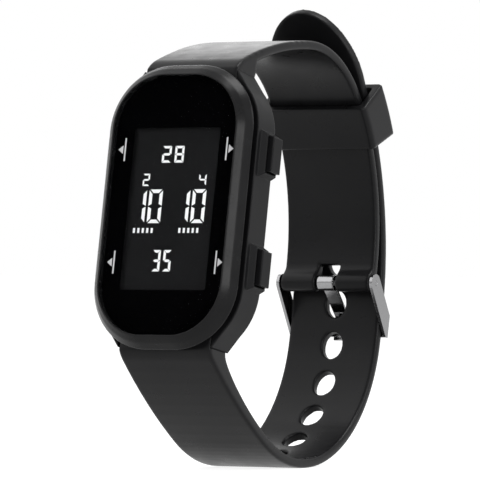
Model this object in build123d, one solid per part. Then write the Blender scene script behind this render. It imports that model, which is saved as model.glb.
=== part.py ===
from build123d import *
from math import atan2, cos, hypot, pi, radians, sin, sqrt
import os

# Digital sports watch, buckled and standing on its strap.
# X runs across the watch toward 3 o'clock, the dial faces -Y and leans back, and Z is up.
# The origin is under the middle of the whole watch, on the surface that it stands on.
# All lengths are in millimetres and all angles in degrees.

# Driving sizes of the case
case_width = 28.8
case_length = 49.8
case_thickness = 11.0
case_lean = 11.0
cover_proud = 1.0
bezel_height = 2.7
groove_width = 1.2
groove_depth = 1.3

# Clearances and general allowances
slide_gap = 0.15
fit_gap = 0.05
stem_gap = 0.02
overrun = 1.0
quarter_turn = 90.0
half_turn = 180.0

# Lens and display window
bezel_width = 2.45
lens_corner = 9.1
lens_thickness = 1.3
lens_bevel = 0.12
mask_thickness = 0.1
window_corner = 0.4
window_drop = 0.5
lens_seal_width = 1.3
lens_seal_thickness = 0.5

# Bezel section
ridge_reach = 1.3
ridge_drop = 1.1
ridge_round = 0.6
bezel_inset = 0.05
bezel_land = 0.12
foot_bevel = 0.18

# Body
body_rear_round = 0.6
body_groove_bevel = 0.12
lug_end_inset = 0.9
lug_sink = 0.05
side_wall = 2.6
end_wall = 8.1
cavity_corner = 5.5
ledge_thickness = 1.0
ledge_side = 2.0
ledge_end = 1.3
panel_port_gap = 0.3
panel_port_corner = 0.8

# Push buttons
button_pitch = 19.6
button_length = 6.1
button_depth = 3.15
button_drop = 5.9
button_reach = 2.05
button_travel = 0.7
button_bevel = 0.25
button_sink = 0.8
stem_radius = 0.55
spring_bore_radius = 0.97
spring_bore_depth = 1.2
head_bore_depth = 1.4
head_bore_radius = 0.95
spring_wire_radius = 0.12
spring_coil_radius = 0.76
spring_turns = 5
seal_wire_radius = 0.19
clip_radius = 1.05
clip_thickness = 0.25
clip_slot = 0.5
clip_slot_share = 0.7
clip_stand = 0.05
stem_tail = 0.4

# Raised guard round each button
guard_reach = 1.0
guard_slope = 0.75
guard_end_slope = 0.6
guard_margin = 0.4
guard_rear_margin = 0.4

# Module: what the case holds
panel_side_margin = 1.0
panel_end_margin = 1.1
panel_thickness = 1.5
panel_drop = 0.1
backlight_side_inset = 0.5
backlight_end_gap = 0.5
backlight_thickness = 0.7
zebra_side_inset = 1.0
zebra_depth = 1.2
zebra_inset = 0.3
board_side_rim = 1.5
board_end_rim = 0.5
board_corner = 4.2
board_thickness = 0.8
board_drop = 1.35
frame_side_gap = 0.4
frame_end_gap = 0.3
frame_rear_drop = 3.4
frame_notch_length = 3.6
frame_notch_depth = 1.7
chip_size = 5.0
chip_thickness = 1.0
chip_end_gap = 5.4
chip_side = 3.6
crystal_radius = 0.95
crystal_length = 6.0
crystal_side = 4.2
switch_width = 1.4
switch_thickness = 0.2
switch_gap = 0.05
switch_height = 2.2
switch_foot = 1.2
cell_side_gap = 1.8
cell_end_gap = 2.4
cell_thickness = 1.6
cell_rim_inset = 1.2
cell_rim_step = 0.25
contact_radius = 4.0
contact_thickness = 0.3
contact_height = 0.6
clip_plate_width = 5.0
clip_plate_thickness = 0.25
clip_leg_width = 2.4
buzzer_side_gap = 3.6
buzzer_thickness = 0.35
buzzer_place = 3.0
buzzer_spring_gap = 0.3
buzzer_spring_radius = 0.9
buzzer_spring_wire = 0.15
buzzer_spring_turns = 4

# Case back
back_side_lap = 1.4
back_end_lap = 1.9
back_corner = 4.0
back_bevel = 0.4
plug_gap = 0.2
plug_depth = 0.8
gasket_depth = 0.4
gasket_inset = 0.5
screw_side_inset = 1.1
screw_radius = 0.6
screw_head_radius = 0.95
screw_head_depth = 0.5
screw_length = 4.0
screw_recess_radius = 0.45
screw_recess_depth = 0.3
screw_recess_sides = 6

# Strap
strap_width = 18.2
strap_thickness = 1.7
strap_edge_round = 0.4
root_top_inset = 5.6
root_start_inset = 0.3
upper_root_thickness = 6.6
upper_root_inset = 0.2
upper_root_taper = 14.0
upper_root_ease = 6.3
upper_root_drop = 6.3
lower_root_thickness = 5.6
lower_root_inset = 0.6
lower_root_taper = 34.0
lower_root_ease = 10.0
lower_root_drop = 2.0
pocket_depth = 6.3
pocket_side_gap = 0.15
bar_inset = 4.25
bar_drop = 3.1
root_eye_radius = 1.85
lower_strap_angle = 32.9
upper_strap_angle = 38.4
tail_round_length = 14.1

# Bends of the straps, each half from the case to its end, as radii and angles
lower_root_radius = 5.5
lower_front_radius = 100.5
lower_rear_radius = 27.6
lower_buckle_radius = 109.1
lower_tail_radius = 58.4
lower_tip_radius = 630.0
upper_root_radius = 8.1
upper_top_radius = 71.8
upper_rear_radius = 21.7
upper_buckle_radius = 39.8
lower_arcs = [
    (lower_root_radius, 21.5),
    (lower_front_radius, 13.0),
    (lower_rear_radius, 111.2),
    (lower_buckle_radius, 4.9),
    (lower_tail_radius, 33.6),
    (lower_tip_radius, 1.7),
]
upper_arcs = [
    (upper_root_radius, -21.9),
    (upper_top_radius, -19.3),
    (upper_rear_radius, -55.3),
    (upper_buckle_radius, -45.3),
]

# Holes in the lower strap
hole_width = 4.0
hole_length = 4.9
hole_pitch = 7.75
hole_count = 9
tongue_hole_at = 84.9
tongue_hole_index = 5

# Spring bars
bar_radius = 0.75
bar_tip_radius = 0.4
bar_tip_reach = 1.2

# Buckle
eye_radius = 1.6
eye_run = 3.3
eye_ease = 1.6
eye_bore_gap = 0.05
notch_width = 4.2
notch_reach = 3.4
arm_thickness = 0.55
arm_gap = 0.15
arm_head_radius = 1.6
far_bar_start = 79.2
far_bar_length = 3.2
far_bar_thickness = 0.7
far_bar_gap = 0.15
arm_knee_run = 4.0
arm_knee_rise = 0.1
barrel_radius = 1.4
barrel_width = 3.2
barrel_gap = 0.04
tongue_width = 2.7
tongue_thickness = 0.6
tongue_bend_radius = 1.4
tongue_rise = 0.12
tongue_overhang = 0.5
tongue_bend_ahead = 0.5

# Keeper loop
keeper_start = 48.5
keeper_length = 8.8
keeper_wall = 1.4
keeper_side_wall = 1.6
keeper_side_gap = 0.25
keeper_gap = 0.3
keeper_inside = 5.7
keeper_round = 0.8

# Levels measured up from the outside of the case back
lens_top = case_thickness
bezel_foot = lens_top - bezel_height
body_top = bezel_foot - groove_width
body_bottom = cover_proud
neck_top = lens_top - lens_thickness - mask_thickness - lens_seal_thickness
ledge_bottom = neck_top - ledge_thickness
panel_top = neck_top - panel_drop
panel_bottom = panel_top - panel_thickness
board_top = panel_bottom - board_drop
board_bottom = board_top - board_thickness
cell_top = board_bottom - contact_height
cell_bottom = cell_top - cell_thickness
plug_top = body_bottom + plug_depth
button_level = lens_top - button_drop - button_depth / 2

# Sizes that follow the case inward
lens_width = case_width - 2 * bezel_width
lens_length = case_length - 2 * bezel_width
cavity_width = case_width - 2 * side_wall
cavity_length = case_length - 2 * end_wall
panel_port_width = cavity_width - 2 * ledge_side
panel_port_length = cavity_length - 2 * ledge_end
panel_width = panel_port_width - 2 * panel_port_gap
panel_length = panel_port_length - 2 * panel_port_gap
window_width = panel_width - 2 * panel_side_margin
window_length = panel_length - 2 * panel_end_margin
backlight_width = panel_width - 2 * backlight_side_inset
backlight_length = panel_length - 2 * (zebra_inset + zebra_depth + backlight_end_gap)
zebra_width = panel_width - 2 * zebra_side_inset
frame_width = cavity_width - 2 * frame_side_gap
frame_length = cavity_length - 2 * frame_end_gap
frame_corner = cavity_corner - frame_end_gap
board_width = frame_width - 2 * board_side_rim
board_length = frame_length - 2 * board_end_rim
chip_place = board_length / 2 - chip_end_gap
cell_radius = cavity_width / 2 - cell_side_gap
cell_rim_radius = cell_radius - cell_rim_inset
cell_place = board_length / 2 - cell_radius - cell_end_gap
plug_width = cavity_width - 2 * plug_gap
plug_length = cavity_length - 2 * plug_gap
plug_corner = cavity_corner - plug_gap
back_width = cavity_width + 2 * back_side_lap
back_length = cavity_length + 2 * back_end_lap
buzzer_radius = plug_width / 2 - buzzer_side_gap
screw_side = cavity_width / 2 - screw_side_inset
screw_place = cavity_length / 2

# Places across the case
half_case = case_width / 2
half_length = case_length / 2
corner_radius = lens_corner + bezel_width
button_face = half_case + button_reach
button_inner = half_case - button_sink + guard_reach - slide_gap
recess_floor = button_inner - button_travel - slide_gap
spring_seat = recess_floor - spring_bore_depth
clip_outer = cavity_width / 2 - clip_stand
stem_end = clip_outer - clip_thickness - stem_tail
guard_top = half_case + guard_reach

# The dial plane: x to 3 o'clock, y to 12 o'clock, z out of the dial, case back face at zero
dial_out = Vector(0, -cos(radians(case_lean)), sin(radians(case_lean)))
dial_plane = Plane(origin=dial_out * -lens_top, x_dir=(1, 0, 0), z_dir=dial_out)

# Four button places as (side, end, name)
button_places = [(1, 1, "start"), (1, -1, "reset"), (-1, 1, "light"), (-1, -1, "mode")]


# Plain helpers
def slab(width, length, corner, bottom, top):
    """A rounded rectangular block between two levels of the dial plane."""
    outline = RectangleRounded(width, length, corner)
    return Pos(0, 0, bottom) * extrude(outline, top - bottom)


def ring_slab(width, length, corner, wall, bottom, top):
    """A rounded rectangular ring between two levels of the dial plane."""
    inner = slab(width - 2 * wall, length - 2 * wall, corner - wall, bottom - overrun, top + overrun)
    return slab(width, length, corner, bottom, top) - inner


def rod(radius, length):
    """A cylinder that starts at the origin and runs along z."""
    return Cylinder(radius, length, align=(Align.CENTER, Align.CENTER, Align.MIN))


def across(x, y, z, side):
    """A place on the dial plane whose z axis points out of the case toward one side."""
    return Location(Plane(origin=(x * side, y, z), x_dir=(0, 1, 0), z_dir=(side, 0, 0)))


def coil(coil_radius, wire_radius, turns, height):
    """A closed round wire spring that stands on the origin."""
    rise = height - 2 * wire_radius
    line = Helix(pitch=rise / turns, height=rise, radius=coil_radius)
    start = Plane(origin=line @ 0, z_dir=line % 0)
    return Pos(0, 0, wire_radius) * sweep(start * Circle(wire_radius), path=line)


def dial_point(along, depth):
    """Turn a place along the dial and a depth behind the lens into (Y, Z)."""
    lean = radians(case_lean)
    return (depth * cos(lean) + along * sin(lean), along * cos(lean) - depth * sin(lean))


# The strap runs as chains of tangent arcs along its outer face, in the Y-Z plane
class StrapPath:
    """One strap half: its outer face as tangent arcs, measured from the case."""

    def __init__(self, start, heading, arcs):
        self.legs = []
        y, z = start
        run = 0.0
        for radius, sweep_angle in arcs:
            turn = 1 if sweep_angle > 0 else -1
            centre = (y - turn * radius * sin(heading), z + turn * radius * cos(heading))
            length = radius * radians(abs(sweep_angle))
            self.legs.append((run, length, radius, turn, centre, heading))
            heading = heading + radians(sweep_angle)
            y = centre[0] + turn * radius * sin(heading)
            z = centre[1] - turn * radius * cos(heading)
            run = run + length
        self.length = run

    def leg_at(self, run):
        """The arc that holds a distance along the strap."""
        found = self.legs[0]
        for leg in self.legs:
            if run >= leg[0]:
                found = leg
        return found

    def heading(self, run):
        """The direction of travel at a distance along the strap, in radians."""
        begin, length, radius, turn, centre, first = self.leg_at(run)
        return first + turn * (run - begin) / radius

    def point(self, run, inset):
        """The (Y, Z) place at a distance along the strap and an inset from its outer face."""
        return self.on_leg(self.leg_at(run), run, inset)

    def line(self, start, stop, inset):
        """The arcs between two distances along the strap, at one inset."""
        cuts = [start] + [leg[0] for leg in self.legs if start < leg[0] < stop] + [stop]
        arcs = []
        for first, last in zip(cuts[:-1], cuts[1:]):
            middle = (first + last) / 2
            leg = self.leg_at(middle)
            ends = [self.on_leg(leg, run, inset) for run in (first, middle, last)]
            arcs.append(ThreePointArc(*ends))
        return arcs

    def on_leg(self, leg, run, inset):
        """A place on one chosen arc."""
        begin, length, radius, turn, centre, first = leg
        heading = first + turn * (run - begin) / radius
        reach = turn * (radius - inset)
        return (centre[0] + reach * sin(heading), centre[1] - reach * cos(heading))

    def band(self, start, stop, outer, inner):
        """The face between two insets and two distances along the strap."""
        edges = self.line(start, stop, outer) + self.line(start, stop, inner)
        edges.append(Line(self.point(start, outer), self.point(start, inner)))
        edges.append(Line(self.point(stop, outer), self.point(stop, inner)))
        return make_face(edges)

    def frame(self, run, inset):
        """A plane on the strap: x across the watch, z out of the strap's outer face."""
        y, z = self.point(run, inset)
        leg = self.leg_at(run)
        heading = self.heading(run)
        out = (0, leg[3] * sin(heading), -leg[3] * cos(heading))
        return Plane(origin=(0, y, z), x_dir=(1, 0, 0), z_dir=out)


def wide(face, width):
    """Widen a Y-Z face evenly to both sides of the middle."""
    return extrude(Plane.YZ * face, width / 2, both=True)


strap_depth = lens_top - body_top + fit_gap
strap_reach = half_length - root_start_inset
lower_path = StrapPath(
    dial_point(-strap_reach, strap_depth),
    radians(lower_strap_angle - case_lean - quarter_turn),
    lower_arcs,
)
upper_path = StrapPath(
    dial_point(strap_reach, strap_depth),
    radians(quarter_turn - case_lean - upper_strap_angle),
    upper_arcs,
)


# Body
def make_case_body():
    """The tub, its neck under the bezel, the strap pockets and the button guards."""
    tub = slab(case_width, case_length, corner_radius, body_bottom, body_top)
    rear = tub.faces().sort_by(Axis.Z)[0].edges()
    tub = fillet(rear, body_rear_round)
    front = tub.faces().sort_by(Axis.Z)[-1].edges()
    tub = chamfer(front, body_groove_bevel)
    neck_width = case_width - 2 * groove_depth
    neck_length = case_length - 2 * groove_depth
    neck = slab(neck_width, neck_length, corner_radius - groove_depth, body_bottom + overrun, neck_top)
    body = tub
    for side, end, name in button_places:
        body = body + guard(side, end) + lug(side, end)
    pocket_width = strap_width + 2 * pocket_side_gap
    for end in (1, -1):
        middle = end * (half_length - pocket_depth / 2 + overrun / 2)
        pocket = Box(pocket_width, pocket_depth + overrun, case_thickness)
        body = body - Pos(0, middle, body_top - case_thickness / 2) * pocket
    body = body + neck_over_pockets(neck)
    cavity = slab(cavity_width, cavity_length, cavity_corner, body_bottom - overrun, ledge_bottom)
    port = slab(panel_port_width, panel_port_length, panel_port_corner, body_bottom, neck_top + overrun)
    body = body - cavity - Pos(0, -window_drop, 0) * port
    for side, end, name in button_places:
        body = body - button_bore(side, end)
    for cutter in lug_bores() + back_screw_bores():
        body = body - cutter
    return body


def neck_over_pockets(neck):
    """The neck, less the part of it that would fill the strap pockets."""
    pocket_width = strap_width + 2 * pocket_side_gap
    keep = neck
    for end in (1, -1):
        middle = end * (half_length - pocket_depth / 2 + overrun / 2)
        pocket = Box(pocket_width, pocket_depth + overrun, case_thickness)
        keep = keep - Pos(0, middle, body_top - case_thickness / 2) * pocket
    return keep


def lug(side, end):
    """The flat that fills one corner of the case out to the strap pocket."""
    inner = strap_width / 2 + pocket_side_gap
    centre = (half_case - corner_radius, half_length - corner_radius)
    tip = (inner, half_length - lug_end_inset)
    touch = tangent_touch(centre, corner_radius - lug_sink, tip, -1)
    outline = make_face(Polyline((inner, centre[1]), touch, tip, close=True))
    block = Pos(0, 0, body_bottom) * extrude(outline, body_top - body_bottom)
    block = fillet(block.faces().sort_by(Axis.Z)[0].edges().sort_by(Axis.Y)[-1], body_rear_round)
    block = chamfer(block.faces().sort_by(Axis.Z)[-1].edges().sort_by(Axis.Y)[-1], body_groove_bevel)
    if side < 0:
        block = mirror(block, about=Plane.YZ)
    if end < 0:
        block = mirror(block, about=Plane.XZ)
    return block


def guard(side, end):
    """A raised pad with sloping ends round one button."""
    top_front = lens_top - button_drop + guard_margin - slide_gap
    base_front = top_front + guard_slope
    base_rear = body_bottom + body_rear_round
    top_length = button_length + 2 * guard_margin
    base_length = top_length + 2 * guard_end_slope
    rear_top = lens_top - button_drop - button_depth - guard_rear_margin
    base = Pos(0, (base_front + base_rear) / 2) * Rectangle(base_length, base_front - base_rear)
    top = Pos(0, (top_front + rear_top) / 2) * Rectangle(top_length, top_front - rear_top)
    under = half_case - guard_reach
    place = Plane(origin=(0, end * button_pitch / 2, 0), x_dir=(0, 1, 0), z_dir=(1, 0, 0))
    lower = place * Pos(0, 0, under) * extrude(base, guard_reach)
    upper = loft([place * Pos(0, 0, half_case) * base, place * Pos(0, 0, guard_top) * top])
    pad = lower + upper
    if side < 0:
        pad = mirror(pad, about=Plane.YZ)
    return pad


def button_bore(side, end):
    """The recess, spring bore and stem bore of one button."""
    place_y = end * button_pitch / 2
    recess = Box(
        button_length + 2 * slide_gap,
        button_depth + 2 * slide_gap,
        guard_top - recess_floor + overrun,
        align=(Align.CENTER, Align.CENTER, Align.MIN),
    )
    cutter = across(recess_floor, place_y, button_level, side) * recess
    spring_bore = rod(spring_bore_radius, spring_bore_depth + overrun)
    cutter = cutter + across(spring_seat, place_y, button_level, side) * spring_bore
    stem_bore = rod(stem_radius + stem_gap, half_case - cavity_width / 2 + overrun)
    inside = cavity_width / 2 - overrun
    return cutter + across(inside, place_y, button_level, side) * stem_bore


def lug_bores():
    """Blind bores in the lugs for the spring bar tips."""
    bores = []
    reach = strap_width / 2 + pocket_side_gap + bar_tip_reach
    for end in (1, -1):
        bore = Cylinder(bar_tip_radius + fit_gap, 2 * reach)
        place = Pos(0, end * (half_length - bar_inset), body_top - bar_drop)
        bores.append(place * Rot(0, quarter_turn, 0) * bore)
    return bores


def back_screw_places():
    """The four case back screw places on the dial plane."""
    return [(x * screw_side, y * screw_place) for x in (1, -1) for y in (1, -1)]


def back_screw_bores():
    """Threaded bores in the body for the case back screws."""
    bores = []
    for x, y in back_screw_places():
        depth = screw_length - back_web() + slide_gap
        bores.append(Pos(x, y, body_bottom - overrun) * rod(screw_radius, depth + overrun))
    return bores


def back_web():
    """How much of the case back lies under a screw head."""
    return cover_proud - screw_head_depth


# Bezel, lens and display
def make_bezel():
    """The ring round the lens: a sloping front, a steep side and a hollow for the neck."""
    foot_width = case_width - 2 * bezel_inset
    foot_length = case_length - 2 * bezel_inset
    foot_corner = corner_radius - bezel_inset
    ridge_width = lens_width + 2 * ridge_reach
    ridge_length = lens_length + 2 * ridge_reach
    ridge_corner = lens_corner + ridge_reach
    front_width = lens_width + 2 * (fit_gap + bezel_land)
    front_length = lens_length + 2 * (fit_gap + bezel_land)
    front_corner = lens_corner + fit_gap + bezel_land
    ridge_level = lens_top - ridge_drop
    foot = Pos(0, 0, bezel_foot) * RectangleRounded(foot_width, foot_length, foot_corner)
    ridge = Pos(0, 0, ridge_level) * RectangleRounded(ridge_width, ridge_length, ridge_corner)
    front = Pos(0, 0, lens_top) * RectangleRounded(front_width, front_length, front_corner)
    side = loft([foot, ridge])
    slope = loft([ridge, front])
    ring = side + slope
    ridge_edges = ring.edges().filter_by_position(Axis.Z, ridge_level, ridge_level)
    ring = fillet(ridge_edges, ridge_round)
    foot_edges = ring.faces().sort_by(Axis.Z)[0].edges()
    ring = chamfer(foot_edges, foot_bevel)
    opening_width = lens_width + 2 * fit_gap
    opening_length = lens_length + 2 * fit_gap
    opening_corner = lens_corner + fit_gap
    opening = slab(opening_width, opening_length, opening_corner, bezel_foot - overrun, lens_top + overrun)
    neck_width = case_width - 2 * groove_depth + 2 * fit_gap
    neck_length = case_length - 2 * groove_depth + 2 * fit_gap
    hollow = slab(
        neck_width,
        neck_length,
        corner_radius - groove_depth + fit_gap,
        bezel_foot - overrun,
        neck_top + fit_gap,
    )
    return ring - opening - hollow


def make_lens():
    """The flat hard lens with a fine bevel round its front."""
    lens = slab(lens_width, lens_length, lens_corner, lens_top - lens_thickness, lens_top)
    edges = lens.faces().sort_by(Axis.Z)[-1].edges()
    return chamfer(edges, lens_bevel)


def make_display_mask():
    """The black print behind the lens, open at the display window."""
    top = lens_top - lens_thickness
    mask = slab(lens_width, lens_length, lens_corner, top - mask_thickness, top)
    window = slab(window_width, window_length, window_corner, top - mask_thickness - overrun, top + overrun)
    return mask - Pos(0, -window_drop, 0) * window


def make_lens_seal():
    """The soft ring between the lens and the neck of the body."""
    seal_top = neck_top + lens_seal_thickness
    return ring_slab(lens_width, lens_length, lens_corner, lens_seal_width, neck_top, seal_top)


def make_lcd_panel():
    """The liquid crystal glass sandwich."""
    half = panel_thickness / 2
    rear = Box(panel_width, panel_length, half, align=(Align.CENTER, Align.CENTER, Align.MIN))
    front_length = panel_length - 2 * zebra_depth - 2 * zebra_inset
    front = Box(panel_width, front_length, half, align=(Align.CENTER, Align.CENTER, Align.MIN))
    return Pos(0, -window_drop, panel_bottom) * (Pos(0, 0, half) * rear + front)


def make_backlight_panel():
    """The light guide behind the panel."""
    plate = Box(backlight_width, backlight_length, backlight_thickness)
    return Pos(0, -window_drop, panel_bottom - backlight_thickness / 2) * plate


def make_zebra_strips():
    """Two rubber strips that join the panel's ledges to the circuit board."""
    height = panel_bottom + panel_thickness / 2 - board_top
    strip = Box(zebra_width, zebra_depth, height, align=(Align.CENTER, Align.CENTER, Align.MIN))
    place = panel_length / 2 - zebra_inset - zebra_depth / 2
    return [Pos(0, end * place - window_drop, board_top) * strip for end in (1, -1)]


# Module
def make_module_frame():
    """The plastic tray that carries the panel, the board and the cell."""
    bottom = plug_top + frame_rear_drop - buzzer_thickness
    tray = slab(frame_width, frame_length, frame_corner, bottom, ledge_bottom - fit_gap)
    for side in (1, -1):
        for end in (1, -1):
            height = board_top - bottom + overrun
            notch = Box(2 * frame_notch_depth, frame_notch_length, height)
            middle = board_top - height / 2
            tray = tray - Pos(side * frame_width / 2, end * button_pitch / 2, middle) * notch
    panel = Box(panel_width + 2 * fit_gap, panel_length + 2 * fit_gap, case_thickness)
    front = Pos(0, -window_drop, board_top + case_thickness / 2) * panel
    board = slab(
        board_width + 2 * fit_gap,
        board_length + 2 * fit_gap,
        board_corner,
        bottom - overrun,
        board_top + fit_gap,
    )
    return tray - front - board


def make_circuit_board():
    """The board behind the panel."""
    return slab(board_width, board_length, board_corner, board_bottom, board_top)


def make_driver_chip():
    """The sealed driver chip on the back of the board."""
    chip = Box(chip_size, chip_size, chip_thickness)
    return Pos(-chip_side, chip_place, board_bottom - chip_thickness / 2) * chip


def make_quartz_crystal():
    """The small tin of the timing crystal, lying on the board."""
    tin = Cylinder(crystal_radius, crystal_length)
    return Pos(crystal_side, chip_place, board_bottom - crystal_radius) * Rot(quarter_turn, 0, 0) * tin


def make_switch_contacts():
    """Four bent leaves at the board's edges that the button stems press."""
    leaves = []
    outer = stem_end - button_travel - switch_gap
    for side, end, name in button_places:
        hung = (Align.MAX, Align.CENTER, Align.MAX)
        upright = Box(switch_thickness, switch_width, switch_height, align=hung)
        foot = Box(switch_foot, switch_width, switch_thickness, align=(Align.MAX, Align.CENTER, Align.MAX))
        leaf = Pos(outer, 0, 0) * (upright + foot)
        if side < 0:
            leaf = mirror(leaf, about=Plane.YZ)
        leaves.append(Pos(0, end * button_pitch / 2, board_bottom) * leaf)
    return leaves


def make_coin_cell():
    """The coin cell with its stepped rim."""
    can = Pos(0, 0, cell_bottom) * rod(cell_radius, cell_thickness - cell_rim_step)
    cap = Pos(0, 0, cell_bottom) * rod(cell_rim_radius, cell_thickness)
    return Pos(0, -cell_place, 0) * (can + cap)


def make_cell_contact():
    """The dished contact between the board and the cell."""
    disc = rod(contact_radius, contact_thickness)
    pip = Pos(0, 0, contact_thickness) * rod(contact_radius / 2, contact_height - contact_thickness)
    return Pos(0, -cell_place, board_bottom) * Rot(half_turn, 0, 0) * (disc + pip)


def make_cell_clip():
    """The steel strap that crosses the cell and hooks into the board."""
    reach = board_width / 2 - clip_plate_thickness
    hung = (Align.CENTER, Align.CENTER, Align.MAX)
    plate = Box(2 * reach, clip_plate_width, clip_plate_thickness, align=hung)
    strap = Pos(0, -cell_place + clip_arm_place() - clip_plate_width / 2, cell_bottom) * plate
    leg_height = board_bottom - cell_bottom + clip_plate_thickness
    for side in (1, -1):
        leg = Box(
            clip_plate_thickness,
            clip_leg_width,
            leg_height,
            align=(Align.MAX, Align.CENTER, Align.MIN),
        )
        place_x = reach if side > 0 else clip_plate_thickness - reach
        leg_y = clip_arm_place() - cell_place
        strap = strap + Pos(place_x, leg_y, cell_bottom - clip_plate_thickness) * leg
    return strap


def clip_arm_place():
    """How far from the cell's centre the legs of the clip stand."""
    return cell_radius / 2 + clip_plate_width / 2


def make_piezo_buzzer():
    """The sounder disc fixed inside the case back."""
    return Pos(0, buzzer_place, plug_top) * rod(buzzer_radius, buzzer_thickness)


def make_buzzer_spring():
    """The small spring that joins the board to the sounder disc."""
    bottom = plug_top + buzzer_thickness
    wire = coil(buzzer_spring_radius, buzzer_spring_wire, buzzer_spring_turns, board_bottom - bottom)
    place = cell_radius - cell_place + buzzer_spring_radius + buzzer_spring_wire + buzzer_spring_gap
    return Pos(0, place, bottom) * wire


# Case back
def make_case_back():
    """The plate, its plug into the body and its gasket groove."""
    plate = slab(back_width, back_length, back_corner, 0, cover_proud)
    edges = plate.faces().sort_by(Axis.Z)[0].edges()
    plate = chamfer(edges, back_bevel)
    plug = slab(plug_width, plug_length, plug_corner, cover_proud, plug_top)
    groove = ring_slab(
        plug_width + overrun,
        plug_length + overrun,
        plug_corner + overrun / 2,
        gasket_inset + overrun / 2,
        cover_proud,
        cover_proud + gasket_depth,
    )
    back = plate + plug - groove
    for x, y in back_screw_places():
        back = back - Pos(x, y, -overrun) * rod(screw_radius + fit_gap, cover_proud + 2 * overrun)
        back = back - Pos(x, y, -overrun) * rod(screw_head_radius + fit_gap, screw_head_depth + overrun)
    return back


def make_case_back_gasket():
    """The soft ring in the groove round the plug."""
    width = cavity_width - 2 * fit_gap
    length = cavity_length - 2 * fit_gap
    wall = gasket_inset + (cavity_width - plug_width) / 2 - 2 * fit_gap
    bottom = cover_proud + fit_gap
    top = bottom + gasket_depth - 2 * fit_gap
    return ring_slab(width, length, cavity_corner - fit_gap, wall, bottom, top)


def make_case_back_screws():
    """Four small recessed screws."""
    screws = []
    for x, y in back_screw_places():
        head = rod(screw_head_radius, screw_head_depth)
        shank = Pos(0, 0, screw_head_depth) * rod(screw_radius, screw_length - screw_head_depth)
        socket = RegularPolygon(screw_recess_radius, screw_recess_sides)
        recess = Pos(0, 0, -overrun) * extrude(socket, screw_recess_depth + overrun)
        screws.append(Pos(x, y, 0) * (head + shank - recess))
    return screws


# Push buttons
def make_button(side, end):
    """The pressed head and its stem with a slot for the clip."""
    height = button_face - button_inner
    head = Box(button_length, button_depth, height, align=(Align.CENTER, Align.CENTER, Align.MIN))
    top = head.faces().sort_by(Axis.Z)[-1].edges()
    head = fillet(top, button_bevel)
    head = head - rod(head_bore_radius, head_bore_depth)
    stem = Pos(0, 0, stem_end - button_inner) * rod(stem_radius, button_inner - stem_end + head_bore_depth)
    slot_start = clip_outer - clip_thickness - fit_gap - button_inner
    slot = rod(stem_radius + overrun, clip_thickness + 2 * fit_gap) - rod(clip_slot_radius(), case_thickness)
    stem = stem - Pos(0, 0, slot_start) * slot
    place = across(button_inner, end * button_pitch / 2, button_level, side)
    return place * (head + stem)


def clip_slot_radius():
    """The radius left at the bottom of the stem's clip slot."""
    return stem_radius * clip_slot_share


def make_button_clip(side, end):
    """The open ring that keeps a button from leaving the case."""
    ring = rod(clip_radius, clip_thickness) - Pos(0, 0, -overrun) * rod(
        clip_slot_radius() + stem_gap, clip_thickness + 2 * overrun
    )
    mouth = Box(clip_slot, clip_radius + overrun, 2 * overrun, align=(Align.CENTER, Align.MIN, Align.CENTER))
    return across(clip_outer - clip_thickness, end * button_pitch / 2, button_level, side) * (ring - mouth)


def make_button_springs():
    """Four return springs, each in its bore under a button head."""
    springs = []
    seal_height = 2 * seal_wire_radius
    height = button_inner - button_travel + head_bore_depth - spring_seat - seal_height - slide_gap
    for side, end, name in button_places:
        wire = coil(spring_coil_radius, spring_wire_radius, spring_turns, height)
        springs.append(across(spring_seat + seal_height, end * button_pitch / 2, button_level, side) * wire)
    return springs


def make_button_seals():
    """Four rubber rings round the button stems."""
    seals = []
    ring_radius = stem_radius + stem_gap + seal_wire_radius
    for side, end, name in button_places:
        ring = Pos(0, 0, seal_wire_radius) * Torus(ring_radius, seal_wire_radius)
        seals.append(across(spring_seat, end * button_pitch / 2, button_level, side) * ring)
    return seals


# Straps
def strap_root(path, end, thickness, inset, taper, ease, drop):
    """The thick start of a strap half, as a Y-Z face.

    Its floor lies a thickness under the face and an inset from the case's end. From there it
    drops along the dial and eases into the strap, which has its plain thickness past the taper.
    """
    top_out = path.point(0, 0)
    top_in = dial_point(end * (half_length - root_top_inset), strap_depth)
    bar = dial_point(end * (half_length - bar_inset), lens_top - body_top + bar_drop)
    floor_depth = strap_depth + thickness
    floor = dial_point(end * (half_length - inset), floor_depth)
    blend = path.point(taper, strap_thickness)
    heading = path.heading(taper)
    before = (blend[0] - ease * cos(heading), blend[1] - ease * sin(heading))
    after = dial_point(end * (half_length - inset + drop), floor_depth)
    edges = path.line(0, taper, 0)
    edges.append(Line(path.point(taper, 0), blend))
    edges.append(Bezier(blend, before, after, floor))
    low_eye = dial_point(end * (half_length - bar_inset), lens_top - body_top + bar_drop + root_eye_radius)
    edges.append(Line(floor, low_eye))
    side_eye = dial_point(end * (half_length - bar_inset - root_eye_radius), lens_top - body_top + bar_drop)
    middle = radians(quarter_turn / 2)
    bend_along = end * (half_length - bar_inset - root_eye_radius * cos(middle))
    bend_depth = lens_top - body_top + bar_drop + root_eye_radius * sin(middle)
    edges.append(ThreePointArc(low_eye, dial_point(bend_along, bend_depth), side_eye))
    edges.append(Line(side_eye, top_in))
    edges.append(Line(top_in, top_out))
    return make_face(edges)


def bar_bore(end):
    """The bore through a strap root for its spring bar."""
    y, z = dial_point(end * (half_length - bar_inset), lens_top - body_top + bar_drop)
    bore = Cylinder(bar_radius + fit_gap, strap_width + 2 * overrun)
    return Pos(0, y, z) * Rot(0, quarter_turn, 0) * bore


def rounded_strap(face):
    """Widen a strap face and round its long edges."""
    solid = wide(face, strap_width)
    sides = solid.faces().filter_by(Axis.X)
    edges = sides.sort_by(Axis.X)[0].edges() + sides.sort_by(Axis.X)[-1].edges()
    return fillet(edges, strap_edge_round)


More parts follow.
